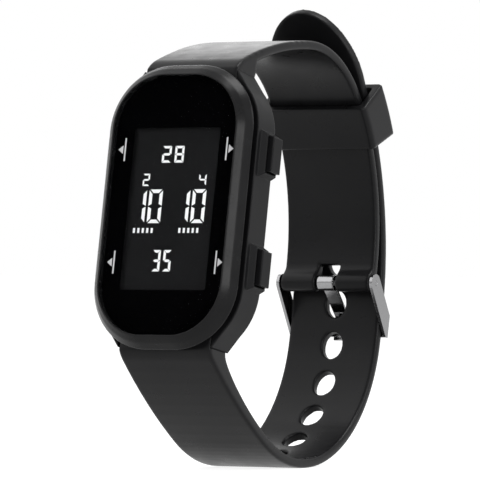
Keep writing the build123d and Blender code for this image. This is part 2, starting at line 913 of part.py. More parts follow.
def make_lower_strap():
    """The strap half with the holes and the free tail."""
    root = strap_root(
        lower_path,
        -1,
        lower_root_thickness,
        lower_root_inset,
        lower_root_taper,
        lower_root_ease,
        lower_root_drop,
    )
    face = lower_path.band(0, lower_path.length, 0, strap_thickness) + root
    strap = rounded_strap(face) - bar_bore(-1)
    for index in range(hole_count):
        run = tongue_hole_at + (index - tongue_hole_index) * hole_pitch
        hole = extrude(Ellipse(hole_width / 2, hole_length / 2), strap_thickness, both=True)
        strap = strap - Location(lower_path.frame(run, strap_thickness / 2)) * hole
    return strap - tail_cutter()


def tail_cutter():
    """What is cut from the tail's end to round it in plan."""
    root = lower_path.frame(lower_path.length - tail_round_length, 0)
    reach = tail_round_length + overrun
    block = Pos(0, -reach / 2) * Rectangle(strap_width + 2 * overrun, reach)
    keep = Ellipse(strap_width / 2, tail_round_length)
    return Location(root) * extrude(block - keep, tail_round_length, both=True)


def make_upper_strap():
    """The strap half that ends in the eye for the buckle bar."""
    root = strap_root(
        upper_path,
        1,
        upper_root_thickness,
        upper_root_inset,
        upper_root_taper,
        upper_root_ease,
        upper_root_drop,
    )
    face = upper_path.band(0, upper_path.length, 0, strap_thickness) + root + buckle_eye_face()
    strap = rounded_strap(face) - bar_bore(1)
    y, z = buckle_axis
    bore = Cylinder(bar_radius + eye_bore_gap, strap_width + 2 * overrun)
    strap = strap - Pos(0, y, z) * Rot(0, quarter_turn, 0) * bore
    notch_length = notch_reach + eye_radius + overrun
    notch = Box(notch_width, notch_length, 4 * eye_radius, align=(Align.CENTER, Align.MIN, Align.CENTER))
    place = Plane(origin=(0, y, z), x_dir=(1, 0, 0), z_dir=upper_path.frame(upper_path.length, 0).z_dir)
    return strap - Location(place) * Pos(0, -notch_reach, 0) * notch


def buckle_eye_face():
    """The rolled end round the buckle bar, as a Y-Z face."""
    end = upper_path.length
    heading = upper_path.heading(end)
    forward = (cos(heading), sin(heading))
    inward = (sin(heading), -cos(heading))
    y, z = buckle_axis
    tip = upper_path.point(end, 0)
    outer = (tip[0] + forward[0] * eye_run, tip[1] + forward[1] * eye_run)
    start_in = upper_path.point(end, strap_thickness)
    neck = (y + inward[0] * eye_radius, z + inward[1] * eye_radius)
    leave = (start_in[0] + forward[0] * eye_ease, start_in[1] + forward[1] * eye_ease)
    arrive = (neck[0] - forward[0] * eye_ease, neck[1] - forward[1] * eye_ease)
    swell = Bezier(neck, arrive, leave, start_in)
    web = make_face([Line(tip, outer), Line(outer, neck), swell, Line(start_in, tip)])
    return web + Pos(y, z) * Circle(eye_radius)


def find_buckle_axis():
    """The buckle bar's (Y, Z): flush under the strap's outer face, just past its last arc."""
    end = upper_path.length
    heading = upper_path.heading(end)
    y, z = upper_path.point(end, eye_radius)
    return (y + eye_run * cos(heading), z + eye_run * sin(heading))


buckle_axis = find_buckle_axis()


def make_spring_bars():
    """Two bars that hold the strap roots between the lugs."""
    bars = []
    for end in (1, -1):
        tube = Cylinder(bar_radius, strap_width)
        tips = Cylinder(bar_tip_radius, strap_width + 2 * pocket_side_gap + 2 * bar_tip_reach - 2 * fit_gap)
        place = Pos(0, end * (half_length - bar_inset), body_top - bar_drop)
        bars.append(place * Rot(0, quarter_turn, 0) * (tube + tips))
    return bars


# Buckle
arm_inner = strap_width / 2 + arm_gap
arm_outer = arm_inner + arm_thickness


def make_buckle_frame():
    """The U-shaped frame: two arms on the bar and a far bar outside the strap."""
    y, z = buckle_axis
    stop = far_bar_start + far_bar_length
    far_outer = -far_bar_gap - far_bar_thickness
    far = wide(lower_path.band(far_bar_start, stop, -far_bar_gap, far_outer), 2 * arm_outer)
    arms = Plane.YZ * arm_face()
    right_arm = extrude(Pos(arm_inner, 0, 0) * arms, arm_thickness)
    pair = right_arm + extrude(Pos(-arm_outer, 0, 0) * arms, arm_thickness)
    frame = far + pair
    bore = Cylinder(bar_tip_radius + fit_gap, 2 * arm_outer + 2 * overrun)
    return frame - Pos(0, y, z) * Rot(0, quarter_turn, 0) * bore


def arm_face():
    """One side arm of the buckle frame, as a Y-Z face."""
    y, z = buckle_axis
    far_outer = -far_bar_gap - far_bar_thickness
    foot_out = lower_path.point(far_bar_start, far_outer)
    foot_in = lower_path.point(far_bar_start, -far_bar_gap)
    knee = lower_path.point(far_bar_start + arm_knee_run, far_outer - arm_knee_rise)
    head = Pos(y, z) * Circle(arm_head_radius)
    outer_touch = tangent_touch((y, z), arm_head_radius, knee, 1)
    inner_touch = tangent_touch((y, z), arm_head_radius, foot_in, -1)
    blade = make_face(Polyline(outer_touch, knee, foot_out, foot_in, inner_touch, (y, z), close=True))
    return head + blade


def tangent_touch(centre, radius, point, side):
    """Where a line from a point touches a circle, on one chosen side."""
    away = hypot(point[0] - centre[0], point[1] - centre[1])
    toward = atan2(point[1] - centre[1], point[0] - centre[0])
    turn = side * (pi / 2 - atan2(radius, sqrt(away ** 2 - radius ** 2)))
    return (centre[0] + radius * cos(toward + turn), centre[1] + radius * sin(toward + turn))


def make_buckle_tongue():
    """The strip that is rolled round the bar, passes a hole and rests on the far bar."""
    y, z = buckle_axis
    stop = far_bar_start - tongue_overhang
    above = -far_bar_gap - far_bar_thickness - tongue_rise - tongue_thickness / 2
    tip = lower_path.point(stop, above)
    bend = lower_path.point(far_bar_start + far_bar_length + tongue_bend_ahead, above)
    line = FilletPolyline((y, z), bend, tip, radius=tongue_bend_radius)
    strip = trace(line, tongue_thickness)
    roll = Pos(y, z) * Circle(barrel_radius)
    tongue = wide(roll, barrel_width) + wide(strip, tongue_width)
    bore = Cylinder(bar_radius + barrel_gap, barrel_width + 2 * overrun)
    return tongue - Pos(0, y, z) * Rot(0, quarter_turn, 0) * bore


def make_buckle_bar():
    """The bar through the eye, with its tips in the arms."""
    y, z = buckle_axis
    tube = Cylinder(bar_radius, strap_width + arm_gap)
    tips = Cylinder(bar_tip_radius, 2 * arm_outer)
    return Pos(0, y, z) * Rot(0, quarter_turn, 0) * (tube + tips)


# Keeper
def make_keeper_loop():
    """The loop that holds the tail against the upper strap."""
    stop = keeper_start + keeper_length
    leg = upper_path.leg_at((keeper_start + stop) / 2)
    inner = strap_thickness + keeper_gap
    inside = inner - keeper_inside
    outside = inside - keeper_wall
    inner_wall = inner + keeper_wall
    half_inside = strap_width / 2 + keeper_side_gap
    block = wide(sector(leg, keeper_start, stop, outside, inner_wall), 2 * (half_inside + keeper_side_wall))
    curved = block.edges().filter_by(GeomType.CIRCLE)
    long_edges = curved.filter_by(lambda edge: edge.length > keeper_length / 2)
    block = fillet(long_edges, keeper_round)
    opening = wide(sector(leg, keeper_start - overrun, stop + overrun, inside, inner), 2 * half_inside)
    return block - opening


def sector(leg, start, stop, outer, inner):
    """A piece of ring concentric with one strap arc, as a Y-Z face."""
    middle = (start + stop) / 2
    outer_ends = [upper_path.on_leg(leg, run, outer) for run in (start, middle, stop)]
    inner_ends = [upper_path.on_leg(leg, run, inner) for run in (start, middle, stop)]
    edges = [ThreePointArc(*outer_ends), ThreePointArc(*inner_ends)]
    edges.append(Line(outer_ends[0], inner_ends[0]))
    edges.append(Line(outer_ends[2], inner_ends[2]))
    return make_face(edges)


# Assembly
def dial_parts():
    """Every piece that is built on the dial plane, by node name."""
    parts = {
        "case_body": make_case_body(),
        "bezel": make_bezel(),
        "lens": make_lens(),
        "display_mask": make_display_mask(),
        "lens_seal": make_lens_seal(),
        "lcd_panel": make_lcd_panel(),
        "backlight_panel": make_backlight_panel(),
        "zebra_strips": make_zebra_strips(),
        "module_frame": make_module_frame(),
        "circuit_board": make_circuit_board(),
        "driver_chip": make_driver_chip(),
        "quartz_crystal": make_quartz_crystal(),
        "switch_contacts": make_switch_contacts(),
        "cell_contact": make_cell_contact(),
        "coin_cell": make_coin_cell(),
        "cell_clip": make_cell_clip(),
        "piezo_buzzer": make_piezo_buzzer(),
        "buzzer_spring": make_buzzer_spring(),
        "case_back": make_case_back(),
        "case_back_gasket": make_case_back_gasket(),
        "case_back_screws": make_case_back_screws(),
        "button_springs": make_button_springs(),
        "button_seals": make_button_seals(),
        "spring_bars": make_spring_bars(),
    }
    for side, end, name in button_places:
        parts["button_" + name] = make_button(side, end)
        parts["clip_" + name] = make_button_clip(side, end)
    return parts


def strap_parts():
    """Every piece that is built in the Y-Z plane of the strap, by node name."""
    return {
        "upper_strap": make_upper_strap(),
        "lower_strap": make_lower_strap(),
        "buckle_frame": make_buckle_frame(),
        "buckle_tongue": make_buckle_tongue(),
        "buckle_bar": make_buckle_bar(),
        "keeper_loop": make_keeper_loop(),
    }


def gathered(shape):
    """One compound of solids from a shape or a list of shapes."""
    shapes = shape if isinstance(shape, list) else [shape]
    solids = [solid for item in shapes for solid in item.solids()]
    return Compound(solids) if len(solids) > 1 else solids[0]


def write_parts():
    """Build every node, set the watch on the floor and write the files."""
    nodes = {}
    for name, shape in dial_parts().items():
        nodes[name] = Location(dial_plane) * gathered(shape)
    for name, shape in strap_parts().items():
        nodes[name] = gathered(shape)
    boxes = [shape.bounding_box() for shape in nodes.values()]
    middle_x = (min(box.min.X for box in boxes) + max(box.max.X for box in boxes)) / 2
    middle_y = (min(box.min.Y for box in boxes) + max(box.max.Y for box in boxes)) / 2
    stand = Pos(-middle_x, -middle_y, -min(box.min.Z for box in boxes))
    os.makedirs("parts", exist_ok=True)
    for name, shape in nodes.items():
        placed = stand * shape
        placed.label = name
        export_step(placed, "parts/" + name + ".step")


write_parts()
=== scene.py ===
"""The looks of a buckled digital sports watch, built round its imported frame.

All places are in metres in the row frame: X runs to 3 o'clock, the dial faces -Y and Z is up.
"""

import logging
import math
from dataclasses import dataclass, field
from enum import Enum

import bpy
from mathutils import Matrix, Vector


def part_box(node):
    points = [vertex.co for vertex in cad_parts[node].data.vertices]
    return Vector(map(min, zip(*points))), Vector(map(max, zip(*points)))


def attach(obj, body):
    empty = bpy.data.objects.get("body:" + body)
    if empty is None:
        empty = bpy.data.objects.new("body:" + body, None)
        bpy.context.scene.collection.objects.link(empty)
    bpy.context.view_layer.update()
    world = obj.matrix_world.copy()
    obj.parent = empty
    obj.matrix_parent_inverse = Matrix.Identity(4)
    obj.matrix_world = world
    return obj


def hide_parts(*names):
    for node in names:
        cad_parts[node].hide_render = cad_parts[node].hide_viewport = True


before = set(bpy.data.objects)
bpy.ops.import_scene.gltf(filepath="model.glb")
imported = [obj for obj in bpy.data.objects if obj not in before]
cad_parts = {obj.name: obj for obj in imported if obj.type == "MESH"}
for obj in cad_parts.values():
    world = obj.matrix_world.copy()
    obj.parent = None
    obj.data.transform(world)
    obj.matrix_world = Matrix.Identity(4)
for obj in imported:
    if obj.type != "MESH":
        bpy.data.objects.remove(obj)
logger = logging.getLogger("watch")

MM = 0.001
"""One millimetre in scene units."""

Colour = tuple[float, float, float]


class NodeSheet:
    """A material's nodes, with short ways to add and join them."""

    pattern_low = 0.3
    pattern_high = 0.7
    edge_start = 0.995
    edge_full = 0.85
    bevel_samples = 4

    def __init__(self, name: str) -> None:
        """Start a material.

        Args:
            name: The material's name.
        """
        self.material = bpy.data.materials.new(name)
        self.material.use_nodes = True
        self.tree = self.material.node_tree
        self.shader = self.tree.nodes["Principled BSDF"]
        self.output = self.tree.nodes["Material Output"]
        self.place = self.add("ShaderNodeTexCoord").outputs["Object"]

    def add(self, kind: str, **values: object) -> bpy.types.Node:
        """Add a node.

        Args:
            kind: Blender's name for the node.
            values: Settings of the node, by attribute name.

        Returns:
            The new node.
        """
        node = self.tree.nodes.new(kind)
        for key, value in values.items():
            setattr(node, key, value)
        return node

    def join(self, start: bpy.types.NodeSocket, end: bpy.types.NodeSocket) -> None:
        """Join two sockets."""
        self.tree.links.new(start, end)

    def set(self, **values: object) -> None:
        """Set the shader's own sockets, named with underscores for spaces."""
        for key, value in values.items():
            self.shader.inputs[key.replace("_", " ")].default_value = value

    def noise(self, size: float, detail: float, stretch: Vector | None = None) -> bpy.types.NodeSocket:
        """Add a noise pattern.

        Args:
            size: The size of its blotches in metres.
            detail: How many finer layers it has.
            stretch: How many times denser it is along X, Y and Z.

        Returns:
            The pattern's value.
        """
        mapping = self.add("ShaderNodeMapping")
        self.join(self.place, mapping.inputs["Vector"])
        if stretch is not None:
            mapping.inputs["Scale"].default_value = stretch
        pattern = self.add("ShaderNodeTexNoise")
        pattern.inputs["Scale"].default_value = 1 / size
        pattern.inputs["Detail"].default_value = detail
        self.join(mapping.outputs["Vector"], pattern.inputs["Vector"])
        return pattern.outputs["Fac"]

    def spread(self, value: bpy.types.NodeSocket, low: float, high: float) -> bpy.types.NodeSocket:
        """Map a pattern's middle range onto another range.

        Args:
            value: The pattern.
            low: What its dark parts become.
            high: What its pale parts become.

        Returns:
            The mapped value.
        """
        scale = self.add("ShaderNodeMapRange")
        scale.inputs["From Min"].default_value = self.pattern_low
        scale.inputs["From Max"].default_value = self.pattern_high
        scale.inputs["To Min"].default_value = low
        scale.inputs["To Max"].default_value = high
        self.join(value, scale.inputs["Value"])
        return scale.outputs["Result"]

    def blend(self, share: bpy.types.NodeSocket, first: object, second: object) -> bpy.types.NodeSocket:
        """Mix two colours.

        Args:
            share: How much of the second shows.
            first: A colour or a colour socket.
            second: A colour or a colour socket.

        Returns:
            The mixed colour.
        """
        mix = self.add("ShaderNodeMix", data_type="RGBA")
        self.join(share, mix.inputs["Factor"])
        for name, value in (("A", first), ("B", second)):
            socket = [item for item in mix.inputs if item.name == name and item.type == "RGBA"][0]
            if isinstance(value, bpy.types.NodeSocket):
                self.join(value, socket)
            else:
                socket.default_value = (*value, 1.0)
        return [item for item in mix.outputs if item.type == "RGBA"][0]

    def edges(self, radius: float) -> bpy.types.NodeSocket:
        """Find the piece's edges.

        Args:
            radius: How far from an edge the mark reaches, in metres.

        Returns:
            A value that is one on edges and zero on flat parts.
        """
        bevel = self.add("ShaderNodeBevel", samples=self.bevel_samples)
        bevel.inputs["Radius"].default_value = radius
        normal = self.add("ShaderNodeNewGeometry").outputs["Normal"]
        product = self.add("ShaderNodeVectorMath", operation="DOT_PRODUCT")
        self.join(bevel.outputs["Normal"], product.inputs[0])
        self.join(normal, product.inputs[1])
        mark = self.add("ShaderNodeMapRange")
        mark.inputs["From Min"].default_value = self.edge_start
        mark.inputs["From Max"].default_value = self.edge_full
        self.join(product.outputs["Value"], mark.inputs["Value"])
        return mark.outputs["Result"]

    def relief(self, height: bpy.types.NodeSocket, depth: float, round_edges: float = 0.0) -> None:
        """Give the surface a fine relief.

        Args:
            height: The relief's pattern.
            depth: Its depth in metres.
            round_edges: How far sharp edges are softened, in metres.
        """
        bump = self.add("ShaderNodeBump")
        bump.inputs["Strength"].default_value = 1.0
        bump.inputs["Distance"].default_value = depth
        self.join(height, bump.inputs["Height"])
        if round_edges:
            bevel = self.add("ShaderNodeBevel", samples=self.bevel_samples)
            bevel.inputs["Radius"].default_value = round_edges
            self.join(bevel.outputs["Normal"], bump.inputs["Normal"])
        self.join(bump.outputs["Normal"], self.shader.inputs["Normal"])


@dataclass(frozen=True)
class MouldedFinish:
    """A moulded plastic or rubber: mottled colour, fine grain and rubbed edges."""

    name: str
    shade: Colour
    rough: float = 0.45
    gloss: float = 0.3
    grain: float = 0.25 * MM
    grain_depth: float = 0.004 * MM
    mottle: float = 0.12
    wear: float = 0.25
    soften: float = 0.12 * MM
    rubbed_share: float = 0.06
    patch_size: float = 6 * MM
    patch_layers: float = 4
    scuff_reach: float = 0.25 * MM
    scuff_size: float = 1.5 * MM
    least_scuff: float = 0.15
    smear_size: float = 3 * MM
    smear_share: float = 0.12
    fine_layers: float = 5
    grain_layers: float = 3

    def make(self) -> bpy.types.Material:
        """Return the finish as a material."""
        sheet = NodeSheet(self.name)
        dark = tuple(value * (1 - self.mottle) for value in self.shade)
        pale = tuple(value * (1 + self.mottle) for value in self.shade)
        rubbed = tuple(value + (1 - value) * self.wear * self.rubbed_share for value in self.shade)
        patches = sheet.spread(sheet.noise(self.patch_size, self.patch_layers), 0, 1)
        body = sheet.blend(patches, dark, pale)
        scuffs = sheet.add("ShaderNodeMath", operation="MULTIPLY")
        sheet.join(sheet.edges(self.scuff_reach), scuffs.inputs[0])
        marks = sheet.noise(self.scuff_size, self.fine_layers)
        sheet.join(sheet.spread(marks, self.least_scuff, 1), scuffs.inputs[1])
        sheet.join(sheet.blend(scuffs.outputs["Value"], body, rubbed), sheet.shader.inputs["Base Color"])
        smooth, coarse = self.rough * (1 - self.smear_share), self.rough * (1 + self.smear_share)
        smears = sheet.spread(sheet.noise(self.smear_size, self.fine_layers), smooth, coarse)
        sheet.join(smears, sheet.shader.inputs["Roughness"])
        sheet.set(Specular_IOR_Level=self.gloss)
        sheet.relief(sheet.noise(self.grain, self.grain_layers), self.grain_depth, self.soften)
        return sheet.material


@dataclass(frozen=True)
class SteelFinish:
    """Bright metal with fine drawn lines and small scratches."""

    name: str
    shade: Colour
    rough: float = 0.22
    lines: Vector = field(default_factory=lambda: Vector((1, 14, 14)))
    line_size: float = 0.8 * MM
    line_layers: float = 6
    line_depth: float = 0.003 * MM
    soften: float = 0.08 * MM
    dull_share: float = 0.82
    smooth_share: float = 0.7
    coarse_share: float = 1.4

    def make(self) -> bpy.types.Material:
        """Return the finish as a material."""
        sheet = NodeSheet(self.name)
        dull = tuple(value * self.dull_share for value in self.shade)
        drawn = sheet.noise(self.line_size, self.line_layers, self.lines)
        colour = sheet.blend(sheet.spread(drawn, 0, 1), dull, self.shade)
        sheet.join(colour, sheet.shader.inputs["Base Color"])
        smooth, coarse = self.rough * self.smooth_share, self.rough * self.coarse_share
        sheet.join(sheet.spread(drawn, smooth, coarse), sheet.shader.inputs["Roughness"])
        sheet.set(Metallic=1.0)
        sheet.relief(drawn, self.line_depth, self.soften)
        return sheet.material


@dataclass(frozen=True)
class ClearFinish:
    """The lens: clear and hard, with faint handling marks."""

    name: str
    shade: Colour = (0.004, 0.004, 0.005)
    cover: float = 0.03
    gloss: float = 0.015
    bending: float = 1.49
    haze_size: float = 5 * MM
    haze_layers: float = 6
    dust_share: float = 1.5
    smear_size: float = 2 * MM
    smear_layers: float = 5
    smooth: float = 0.015
    smeared: float = 0.05
    wave_size: float = 8 * MM
    wave_layers: float = 2
    wave_depth: float = 0.0005 * MM

    def make(self) -> bpy.types.Material:
        """Return the finish as a material."""
        sheet = NodeSheet(self.name)
        haze = sheet.spread(sheet.noise(self.haze_size, self.haze_layers), 0, 1)
        dusty = tuple(value * self.dust_share for value in self.shade)
        sheet.join(sheet.blend(haze, self.shade, dusty), sheet.shader.inputs["Base Color"])
        smears = sheet.noise(self.smear_size, self.smear_layers)
        sheet.join(sheet.spread(smears, self.smooth, self.smeared), sheet.shader.inputs["Roughness"])
        sheet.set(Alpha=self.cover, Specular_IOR_Level=self.gloss, IOR=self.bending)
        sheet.relief(sheet.noise(self.wave_size, self.wave_layers), self.wave_depth)
        return sheet.material


@dataclass(frozen=True)
class PaleMarkPaintedGlowFinish:
    """A pale mark with a painted glow on top of its colour, such as a display segment."""

    name: str
    shade: Colour = (0.86, 0.87, 0.88)
    # painted glow: the mark gives off light of its own, though it is no lamp
    painted_glow: float = 0.25
    gloss: float = 0.1
    soft_share: float = 0.93
    cloud_size: float = 0.7 * MM
    cloud_layers: float = 3
    speck_size: float = 0.5 * MM
    speck_layers: float = 2
    smooth: float = 0.5
    coarse: float = 0.65
    grain: float = 0.2 * MM
    grain_depth: float = 0.001 * MM

    def make(self) -> bpy.types.Material:
        """Return the finish as a material."""
        sheet = NodeSheet(self.name)
        soft = tuple(value * self.soft_share for value in self.shade)
        cloud = sheet.spread(sheet.noise(self.cloud_size, self.cloud_layers), 0, 1)
        colour = sheet.blend(cloud, soft, self.shade)
        sheet.join(colour, sheet.shader.inputs["Base Color"])
        # The mark's colour also feeds its emission, which is painted glow.
        sheet.join(colour, sheet.shader.inputs["Emission Color"])
        specks = sheet.noise(self.speck_size, self.speck_layers)
        sheet.join(sheet.spread(specks, self.smooth, self.coarse), sheet.shader.inputs["Roughness"])
        sheet.set(Emission_Strength=self.painted_glow, Specular_IOR_Level=self.gloss)
        sheet.relief(sheet.noise(self.grain, self.speck_layers), self.grain_depth)
        return sheet.material


CASE_RESIN = MouldedFinish(
    "case_resin", (0.0055, 0.0055, 0.006), rough=0.36, gloss=0.085, soften=0.3 * MM
)
BEZEL_RESIN = MouldedFinish(
    "bezel_resin", (0.0078, 0.0078, 0.0082), rough=0.26, gloss=0.1, soften=0.3 * MM
)
BUTTON_RESIN = MouldedFinish("button_resin", (0.004, 0.004, 0.0045), rough=0.32, gloss=0.075)
STRAP_RESIN = MouldedFinish(
    "strap_resin", (0.0068, 0.0068, 0.0073), rough=0.3, gloss=0.11, grain=0.35 * MM
)
SEAL_RUBBER = MouldedFinish("seal_rubber", (0.012, 0.012, 0.013), rough=0.7, gloss=0.1)
BLACK_PRINT = MouldedFinish(
    "black_print", (0.001, 0.001, 0.0012), rough=0.5, gloss=0.0, mottle=0.2, wear=0.0
)
DISPLAY_GLASS = MouldedFinish(
    "display_glass",
    (0.0098, 0.01, 0.0105),
    rough=0.4,
    gloss=0.02,
    grain=0.2 * MM,
    mottle=0.06,
    wear=0.05,
)
MODULE_PLASTIC = MouldedFinish("module_plastic", (0.06, 0.062, 0.07), rough=0.5)
LIGHT_GUIDE = MouldedFinish("light_guide", (0.72, 0.74, 0.76), rough=0.3, mottle=0.04)
BOARD_GREEN = MouldedFinish("board_green", (0.02, 0.12, 0.055), rough=0.4, mottle=0.2)
CHIP_BLACK = MouldedFinish("chip_black", (0.018, 0.018, 0.018), rough=0.55)
CONTACT_BRASS = SteelFinish("contact_brass", (0.72, 0.55, 0.27), rough=0.28)
BUCKLE_STEEL = SteelFinish("buckle_steel", (0.29, 0.29, 0.295), rough=0.14)
SPRING_STEEL = SteelFinish("spring_steel", (0.50, 0.51, 0.52), rough=0.25)
BACK_STEEL = SteelFinish("back_steel", (0.42, 0.42, 0.43), rough=0.3, lines=Vector((0.6, 12, 12)))
CELL_STEEL = SteelFinish("cell_steel", (0.62, 0.63, 0.64), rough=0.24, lines=Vector((2, 8, 8)))
LENS_CLEAR = ClearFinish("lens_clear")
# Display segments and ticks: pale marks with a painted glow.
SEGMENT_PAINTED_GLOW = PaleMarkPaintedGlowFinish("segment_painted_glow")
# Printed pointers: pale print with a weaker painted glow added.
PRINTED_MARK = PaleMarkPaintedGlowFinish("printed_mark", (0.6, 0.6, 0.61), painted_glow=0.1)

Finish = MouldedFinish | SteelFinish | ClearFinish | PaleMarkPaintedGlowFinish


class Wardrobe:
    """Makes each finish once and puts it on pieces."""

    def __init__(self) -> None:
        """Start with no materials made."""
        self.made: dict[str, bpy.types.Material] = {}

    def dress(self, piece: bpy.types.Object, finish: Finish) -> None:
        """Put a finish on a piece.

        Args:
            piece: The object to dress.
            finish: Its finish.
        """
        if finish.name not in self.made:
            self.made[finish.name] = finish.make()
        piece.data.materials.clear()
        piece.data.materials.append(self.made[finish.name])
        logger.info("%s: %s", piece.name, finish.name)

    def dress_nodes(self, finish: Finish, *nodes: str) -> None:
        """Put a finish on CAD nodes, by name."""
        for node in nodes:
            self.dress(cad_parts[node], finish)


class Bar(Enum):
    """The seven bars of a display figure."""

    TOP = "top"
    UPPER_RIGHT = "upper_right"
    LOWER_RIGHT = "lower_right"
    BOTTOM = "bottom"
    LOWER_LEFT = "lower_left"
    UPPER_LEFT = "upper_left"
    MIDDLE = "middle"


FIGURES: dict[int, tuple[Bar, ...]] = {
    0: (Bar.TOP, Bar.UPPER_RIGHT, Bar.LOWER_RIGHT, Bar.BOTTOM, Bar.LOWER_LEFT, Bar.UPPER_LEFT),
    1: (Bar.UPPER_RIGHT, Bar.LOWER_RIGHT),
    2: (Bar.TOP, Bar.UPPER_RIGHT, Bar.MIDDLE, Bar.LOWER_LEFT, Bar.BOTTOM),
    3: (Bar.TOP, Bar.UPPER_RIGHT, Bar.MIDDLE, Bar.LOWER_RIGHT, Bar.BOTTOM),
    4: (Bar.UPPER_LEFT, Bar.UPPER_RIGHT, Bar.MIDDLE, Bar.LOWER_RIGHT),
    5: (Bar.TOP, Bar.UPPER_LEFT, Bar.MIDDLE, Bar.LOWER_RIGHT, Bar.BOTTOM),
    8: tuple(Bar),
}


@dataclass(frozen=True)
class FigureStyle:
    """The size of one display figure."""

    width: float
    height: float
    stroke: float
    gap: float

    def outline(self, bar: Bar) -> list[tuple[float, float]]:
        """Give one bar's corners.

        Args:
            bar: Which bar.

        Returns:
            Its corners, measured from the figure's lower left corner.
        """
        middle = self.height / 2
        if bar in (Bar.TOP, Bar.BOTTOM):
            far = [(self.gap, 0), (self.width - self.gap, 0)]
            near_in = self.gap + self.stroke
            corners = far + [(self.width - near_in, self.stroke), (near_in, self.stroke)]
            upward = bar is Bar.BOTTOM
            return [(x, y if upward else self.height - y) for x, y in corners]
        if bar is Bar.MIDDLE:
            inset = self.stroke + self.gap / 2
            half = self.stroke / 2
            tip = self.gap + self.stroke / 4
            upper = [(tip, middle), (inset, middle + half), (self.width - inset, middle + half)]
            lower = [(self.width - tip, middle), (self.width - inset, middle - half), (inset, middle - half)]
            return upper + lower
        outer = [(0, self.gap), (0, middle - self.gap / 2)]
        slope_end = middle - self.gap / 2 - self.stroke / 2
        inner = [(self.stroke, slope_end), (self.stroke, self.gap + self.stroke)]
        corners = outer + inner
        if bar in (Bar.UPPER_LEFT, Bar.UPPER_RIGHT):
            corners = [(x, self.height - y) for x, y in corners]
        if bar in (Bar.UPPER_RIGHT, Bar.LOWER_RIGHT):
            corners = [(self.width - x, y) for x, y in corners]
        return corners


DAY_FIGURE = FigureStyle(width=1.8 * MM, height=2.9 * MM, stroke=0.42 * MM, gap=0.06 * MM)
LEFT_FIGURE = FigureStyle(width=1.35 * MM, height=2.15 * MM, stroke=0.3 * MM, gap=0.05 * MM)
RIGHT_FIGURE = FigureStyle(width=1.45 * MM, height=2.0 * MM, stroke=0.3 * MM, gap=0.05 * MM)
MAIN_FIGURE = FigureStyle(width=2.65 * MM, height=5.85 * MM, stroke=0.62 * MM, gap=0.18 * MM)
LOWER_FIGURE = FigureStyle(width=1.55 * MM, height=3.7 * MM, stroke=0.46 * MM, gap=0.06 * MM)
MAIN_BOTTOM = -2.9 * MM


@dataclass(frozen=True)
class Reading:
    """Figures side by side on the display, placed on the dial."""

    name: str
    figures: tuple[int, ...]
    style: FigureStyle
    lefts: tuple[float, ...]
    bottom: float


@dataclass(frozen=True)
class ButtonPointer:
    """A plain printed pointer to one button: a bar along the lens edge and a triangle."""

    side: int
    middle: float
    bar_place: float = 9.9 * MM
    bar_width: float = 0.28 * MM
    bar_length: float = 4.0 * MM
    base: float = 1.5 * MM
    reach: float = 0.95 * MM
    gap: float = 0.25 * MM

    def outlines(self) -> list[list[tuple[float, float]]]:
        """Return the corners of the bar and of the triangle."""
        inner, outer = self.bar_place, self.bar_place + self.bar_width
        start = outer + self.gap
        half = self.bar_length / 2
        bar = [(inner, -half), (outer, -half), (outer, half), (inner, half)]
        arrow = [(start, -self.base / 2), (start + self.reach, 0), (start, self.base / 2)]
        return [[(self.side * x, self.middle + y) for x, y in shape] for shape in (bar, arrow)]


@dataclass(frozen=True)
class TickRow:
    """A row of small plain ticks on the display."""

    left: float
    bottom: float = -4.6 * MM
    count: int = 5
    width: float = 0.42 * MM
    height: float = 0.85 * MM
    step: float = 0.88 * MM

    def outlines(self) -> list[list[tuple[float, float]]]:
        """Return each tick's corners."""
        starts = [self.left + index * self.step for index in range(self.count)]
        low, high = self.bottom, self.bottom + self.height
        return [[(x, low), (x + self.width, low), (x + self.width, high), (x, high)] for x in starts]


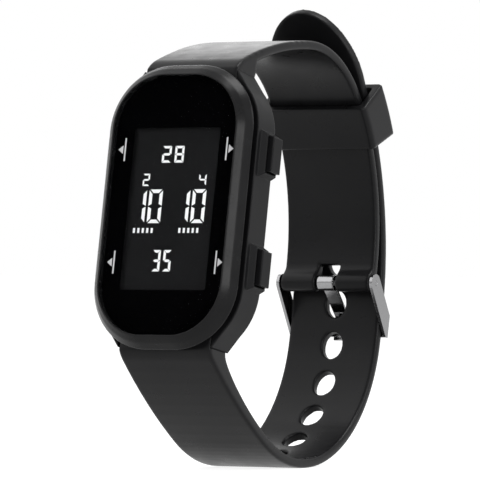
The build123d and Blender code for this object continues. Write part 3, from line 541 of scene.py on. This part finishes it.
@dataclass
class Dial:
    """The lens, the print behind it and the display with its figures."""

    wardrobe: Wardrobe
    lean: float = math.radians(11)
    lens_thickness: float = 1.3 * MM
    panel_depth: float = 2.0 * MM
    print_depth: float = 1.28 * MM
    plate: float = 0.02 * MM
    readings: tuple[Reading, ...] = (
        Reading("reading_upper", (2, 8), DAY_FIGURE, (-2.95 * MM, -0.45 * MM), 7.6 * MM),
        Reading("reading_small_left", (2,), LEFT_FIGURE, (-6.3 * MM,), 3.55 * MM),
        Reading("reading_small_right", (4,), RIGHT_FIGURE, (4.8 * MM,), 3.6 * MM),
        Reading("reading_left", (1, 0), MAIN_FIGURE, (-7.9 * MM, -4.73 * MM), MAIN_BOTTOM),
        Reading("reading_right", (1, 0), MAIN_FIGURE, (0.7 * MM, 3.85 * MM), MAIN_BOTTOM),
        Reading("reading_lower", (3, 5), LOWER_FIGURE, (-2.85 * MM, -0.73 * MM), -11.27 * MM),
    )
    pointer_place: float = 9.8 * MM
    pointer_corners: tuple[tuple[int, int], ...] = ((-1, 1), (1, 1), (-1, -1), (1, -1))
    ticks: tuple[TickRow, ...] = (TickRow(-7.3 * MM), TickRow(1.7 * MM))

    def __post_init__(self) -> None:
        """Find the dial's own directions and the middle of the lens front."""
        self.right = Vector((1, 0, 0))
        self.up = Vector((0, math.sin(self.lean), math.cos(self.lean)))
        self.out = self.right.cross(self.up)
        low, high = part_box("lens")
        self.front = (low + high) / 2 + self.out * self.lens_thickness / 2

    def spot(self, x: float, y: float, depth: float) -> Vector:
        """Return a place on the dial, at a depth behind the lens front."""
        return self.front + self.right * x + self.up * y - self.out * depth

    def plates(self, name: str, outlines: list[list[tuple[float, float]]], depth: float) -> bpy.types.Object:
        """Make thin flat plates from outlines on the dial.

        Args:
            name: The piece's name.
            outlines: Each plate's corners on the dial.
            depth: How far behind the lens front the plates' faces are.

        Returns:
            The piece, riding on the watch.
        """
        corners: list[Vector] = []
        faces: list[tuple[int, ...]] = []
        for outline in outlines:
            area = sum(a[0] * b[1] - b[0] * a[1] for a, b in zip(outline, outline[1:] + outline[:1]))
            ordered = outline if area > 0 else outline[::-1]
            base = len(corners)
            count = len(ordered)
            corners += [self.spot(x, y, depth) for x, y in ordered]
            corners += [self.spot(x, y, depth + self.plate) for x, y in ordered]
            faces.append(tuple(range(base, base + count)))
            faces.append(tuple(range(base + 2 * count - 1, base + count - 1, -1)))
            for index in range(count):
                after = (index + 1) % count
                faces.append((base + index, base + count + index, base + count + after, base + after))
        mesh = bpy.data.meshes.new(name)
        mesh.from_pydata(corners, [], faces)
        piece = bpy.data.objects.new(name, mesh)
        bpy.context.scene.collection.objects.link(piece)
        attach(piece, "watch")
        return piece

    def write_readings(self) -> None:
        """Make the display's pale figures, which shine with a painted glow."""
        for reading in self.readings:
            outlines = []
            for figure, left in zip(reading.figures, reading.lefts):
                for bar in FIGURES[figure]:
                    corners = reading.style.outline(bar)
                    outlines.append([(left + x, reading.bottom + y) for x, y in corners])
            piece = self.plates(reading.name, outlines, self.panel_depth - 2 * self.plate)
            self.wardrobe.dress(piece, SEGMENT_PAINTED_GLOW)

    def print_marks(self) -> None:
        """Make the plain pointers beside the lens edge and the ticks on the display."""
        pointers = [ButtonPointer(side, end * self.pointer_place) for side, end in self.pointer_corners]
        arrows = [shape for pointer in pointers for shape in pointer.outlines()]
        self.wardrobe.dress(self.plates("button_pointers", arrows, self.print_depth), PRINTED_MARK)
        dashes = [shape for row in self.ticks for shape in row.outlines()]
        # The ticks share the segments' painted glow.
        ticks = self.plates("display_ticks", dashes, self.panel_depth - 2 * self.plate)
        self.wardrobe.dress(ticks, SEGMENT_PAINTED_GLOW)

    def dress_nodes(self) -> None:
        """Dress the lens, the print and the display glass."""
        self.wardrobe.dress_nodes(LENS_CLEAR, "lens")
        self.wardrobe.dress_nodes(BLACK_PRINT, "display_mask")
        self.wardrobe.dress_nodes(DISPLAY_GLASS, "lcd_panel")
        self.wardrobe.dress_nodes(SEAL_RUBBER, "lens_seal")

    def build(self) -> None:
        """Build and dress the dial."""
        self.dress_nodes()
        self.write_readings()
        self.print_marks()


@dataclass(frozen=True)
class SoftMoulding:
    """A piece moulded afresh over its CAD solid, with every edge eased round."""

    node: str
    body: str
    grid: float = 0.2 * MM
    passes: int = 12
    strength: float = 0.5

    def make(self) -> bpy.types.Object:
        """Form the piece and let it stand for its node.

        Returns:
            The new piece, riding on its body.
        """
        piece = bpy.data.objects.new(self.node + "_moulded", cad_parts[self.node].data.copy())
        bpy.context.scene.collection.objects.link(piece)
        skin = piece.modifiers.new("skin", "REMESH")
        skin.mode = "VOXEL"
        skin.voxel_size = self.grid
        skin.use_smooth_shade = True
        ease = piece.modifiers.new("ease", "SMOOTH")
        ease.factor = self.strength
        ease.iterations = self.passes
        formed = piece.evaluated_get(bpy.context.evaluated_depsgraph_get())
        mesh = bpy.data.meshes.new_from_object(formed)
        piece.modifiers.clear()
        piece.data = mesh
        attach(piece, self.body)
        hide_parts(self.node)
        return piece


@dataclass
class Case:
    """The case, its back, its buttons and the module inside it."""

    wardrobe: Wardrobe
    ring: SoftMoulding = SoftMoulding("bezel", "watch", grid=0.13 * MM, passes=14)

    def build(self) -> None:
        """Dress every node of the case and round the bezel."""
        put_on = self.wardrobe.dress_nodes
        put_on(CASE_RESIN, "case_body")
        put_on(BEZEL_RESIN, "bezel")
        self.wardrobe.dress(self.ring.make(), BEZEL_RESIN)
        put_on(BUTTON_RESIN, "button_start", "button_reset", "button_light", "button_mode")
        put_on(BACK_STEEL, "case_back")
        put_on(SPRING_STEEL, "case_back_screws", "button_springs", "spring_bars")
        put_on(SPRING_STEEL, "cell_clip", "buzzer_spring")
        put_on(SPRING_STEEL, "clip_start", "clip_reset", "clip_light", "clip_mode")
        put_on(SEAL_RUBBER, "case_back_gasket", "button_seals", "zebra_strips")
        put_on(MODULE_PLASTIC, "module_frame")
        put_on(LIGHT_GUIDE, "backlight_panel")
        put_on(BOARD_GREEN, "circuit_board")
        put_on(CHIP_BLACK, "driver_chip")
        put_on(CELL_STEEL, "coin_cell", "quartz_crystal")
        put_on(CONTACT_BRASS, "switch_contacts", "cell_contact", "piezo_buzzer")


@dataclass
class Band:
    """The two strap halves, the keeper and the buckle."""

    wardrobe: Wardrobe
    mouldings: tuple[SoftMoulding, ...] = (
        SoftMoulding("upper_strap", "watch"),
        SoftMoulding("lower_strap", "watch"),
        SoftMoulding("keeper_loop", "keeper"),
    )
    tongue: SoftMoulding = SoftMoulding("buckle_tongue", "tongue", grid=0.08 * MM, passes=10)

    def build(self) -> None:
        """Mould the soft pieces and dress the band."""
        self.wardrobe.dress_nodes(STRAP_RESIN, "upper_strap", "lower_strap", "keeper_loop")
        for moulding in self.mouldings:
            self.wardrobe.dress(moulding.make(), STRAP_RESIN)
        self.wardrobe.dress(self.tongue.make(), BUCKLE_STEEL)
        self.wardrobe.dress_nodes(BUCKLE_STEEL, "buckle_frame", "buckle_tongue", "buckle_bar")


@dataclass(frozen=True)
class Lamp:
    """One soft square lamp that points at the watch."""

    name: str
    azimuth: float
    height: float
    distance: float
    size: float
    power: float

    def place(self, target: Vector) -> None:
        """Put the lamp in the scene.

        Args:
            target: What it points at.
        """
        data = bpy.data.lights.new(self.name, "AREA")
        data.shape = "SQUARE"
        data.size = self.size
        data.energy = self.power
        turn, rise = math.radians(self.azimuth), math.radians(self.height)
        away = Vector((math.sin(turn) * math.cos(rise), -math.cos(turn) * math.cos(rise), math.sin(rise)))
        lamp = bpy.data.objects.new(self.name, data)
        lamp.location = target + away * self.distance
        lamp.rotation_mode = "QUATERNION"
        lamp.rotation_quaternion = (-away).to_track_quat("-Z", "Y")
        bpy.context.scene.collection.objects.link(lamp)


@dataclass
class Studio:
    """The floor, the lamps, the pale surroundings and the camera."""

    dial: Dial
    floor_reach: float = 4.0
    camera_azimuth: float = math.radians(30)
    camera_distance: float = 0.9
    lens_length: float = 388.1
    behind_lens: float = 25.05 * MM
    below_lens: float = 6.1 * MM
    surround: float = 0.55
    near_share: float = 0.01
    floor_shade: float = 0.35
    floor_glow: float = 0.88
    floor_bounce: float = 0.75
    lamps: tuple[Lamp, ...] = (
        Lamp("key_lamp", -60, 42, 1.0, 1.1, 4.5),
        Lamp("top_lamp", 125, 72, 0.8, 0.35, 3.5),
        Lamp("side_lamp", 110, 25, 0.9, 0.4, 2.2),
        Lamp("ridge_lamp", 62, 14, 0.9, 0.3, 2.5),
        Lamp("rim_lamp", -150, 24, 0.9, 0.3, 0.45),
    )

    def lay_floor(self) -> None:
        """Lay the pale floor, which keeps the watch's shadow."""
        reach = self.floor_reach
        mesh = bpy.data.meshes.new("floor")
        corners = [(-reach, -reach, 0), (reach, -reach, 0), (reach, reach, 0), (-reach, reach, 0)]
        mesh.from_pydata(corners, [], [(0, 1, 2, 3)])
        floor = bpy.data.objects.new("floor", mesh)
        bpy.context.scene.collection.objects.link(floor)
        sheet = NodeSheet("floor_paper")
        sheet.tree.nodes.remove(sheet.shader)
        seen = sheet.add("ShaderNodeAddShader")
        shaded = sheet.add("ShaderNodeBsdfDiffuse")
        shaded.inputs["Color"].default_value = (*[self.floor_shade] * 3, 1)
        bright = sheet.add("ShaderNodeEmission")
        bright.inputs["Strength"].default_value = self.floor_glow
        sheet.join(shaded.outputs[0], seen.inputs[0])
        sheet.join(bright.outputs[0], seen.inputs[1])
        plain = sheet.add("ShaderNodeBsdfDiffuse")
        plain.inputs["Color"].default_value = (*[self.floor_bounce] * 3, 1)
        mix = sheet.add("ShaderNodeMixShader")
        sheet.join(self.direct_share(sheet.tree), mix.inputs[0])
        sheet.join(plain.outputs[0], mix.inputs[1])
        sheet.join(seen.outputs[0], mix.inputs[2])
        sheet.join(mix.outputs[0], sheet.output.inputs["Surface"])
        mesh.materials.append(sheet.material)

    def direct_share(self, tree: bpy.types.NodeTree) -> bpy.types.NodeSocket:
        """Find the rays that see the surroundings as a background.

        Args:
            tree: The nodes to add to.

        Returns:
            One for camera, glossy and transmission rays, and zero for the rest.
        """
        path = tree.nodes.new("ShaderNodeLightPath")
        share = path.outputs["Is Camera Ray"]
        for name in ("Is Glossy Ray", "Is Transmission Ray"):
            larger = tree.nodes.new("ShaderNodeMath")
            larger.operation = "MAXIMUM"
            tree.links.new(share, larger.inputs[0])
            tree.links.new(path.outputs[name], larger.inputs[1])
            share = larger.outputs[0]
        return share

    def hang_sky(self) -> None:
        """Surround the watch with white that lights it softly."""
        world = bpy.data.worlds.new("surroundings")
        world.use_nodes = True
        bpy.context.scene.world = world
        tree = world.node_tree
        background = tree.nodes["Background"]
        background.inputs["Color"].default_value = (1, 1, 1, 1)
        strength = tree.nodes.new("ShaderNodeMapRange")
        strength.inputs["To Min"].default_value = self.surround
        strength.inputs["To Max"].default_value = 1.0
        tree.links.new(self.direct_share(tree), strength.inputs["Value"])
        tree.links.new(strength.outputs["Result"], background.inputs["Strength"])

    def set_camera(self) -> Vector:
        """Set the camera as it stood for the photograph.

        Returns:
            The point that it looks at.
        """
        target = self.dial.front + Vector((0, self.behind_lens, -self.below_lens))
        turn = self.camera_azimuth
        away = Vector((math.sin(turn), -math.cos(turn), 0))
        data = bpy.data.cameras.new("camera")
        data.lens = self.lens_length
        data.clip_start = self.camera_distance * self.near_share
        camera = bpy.data.objects.new("camera", data)
        camera.location = target + away * self.camera_distance
        camera.rotation_mode = "QUATERNION"
        camera.rotation_quaternion = (-away).to_track_quat("-Z", "Y")
        bpy.context.scene.collection.objects.link(camera)
        bpy.context.scene.camera = camera
        return target

    def build(self) -> None:
        """Set up the floor, the surroundings, the camera and the lamps."""
        self.lay_floor()
        self.hang_sky()
        target = self.set_camera()
        for lamp in self.lamps:
            lamp.place(target)
        bpy.context.scene.view_settings.view_transform = "Standard"


def main() -> None:
    """Build the watch and its studio."""
    logging.basicConfig(level=logging.INFO)
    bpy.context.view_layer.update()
    wardrobe = Wardrobe()
    dial = Dial(wardrobe)
    Studio(dial).build()
    dial.build()
    Case(wardrobe).build()
    Band(wardrobe).build()


if __name__ == "__main__":
    main()
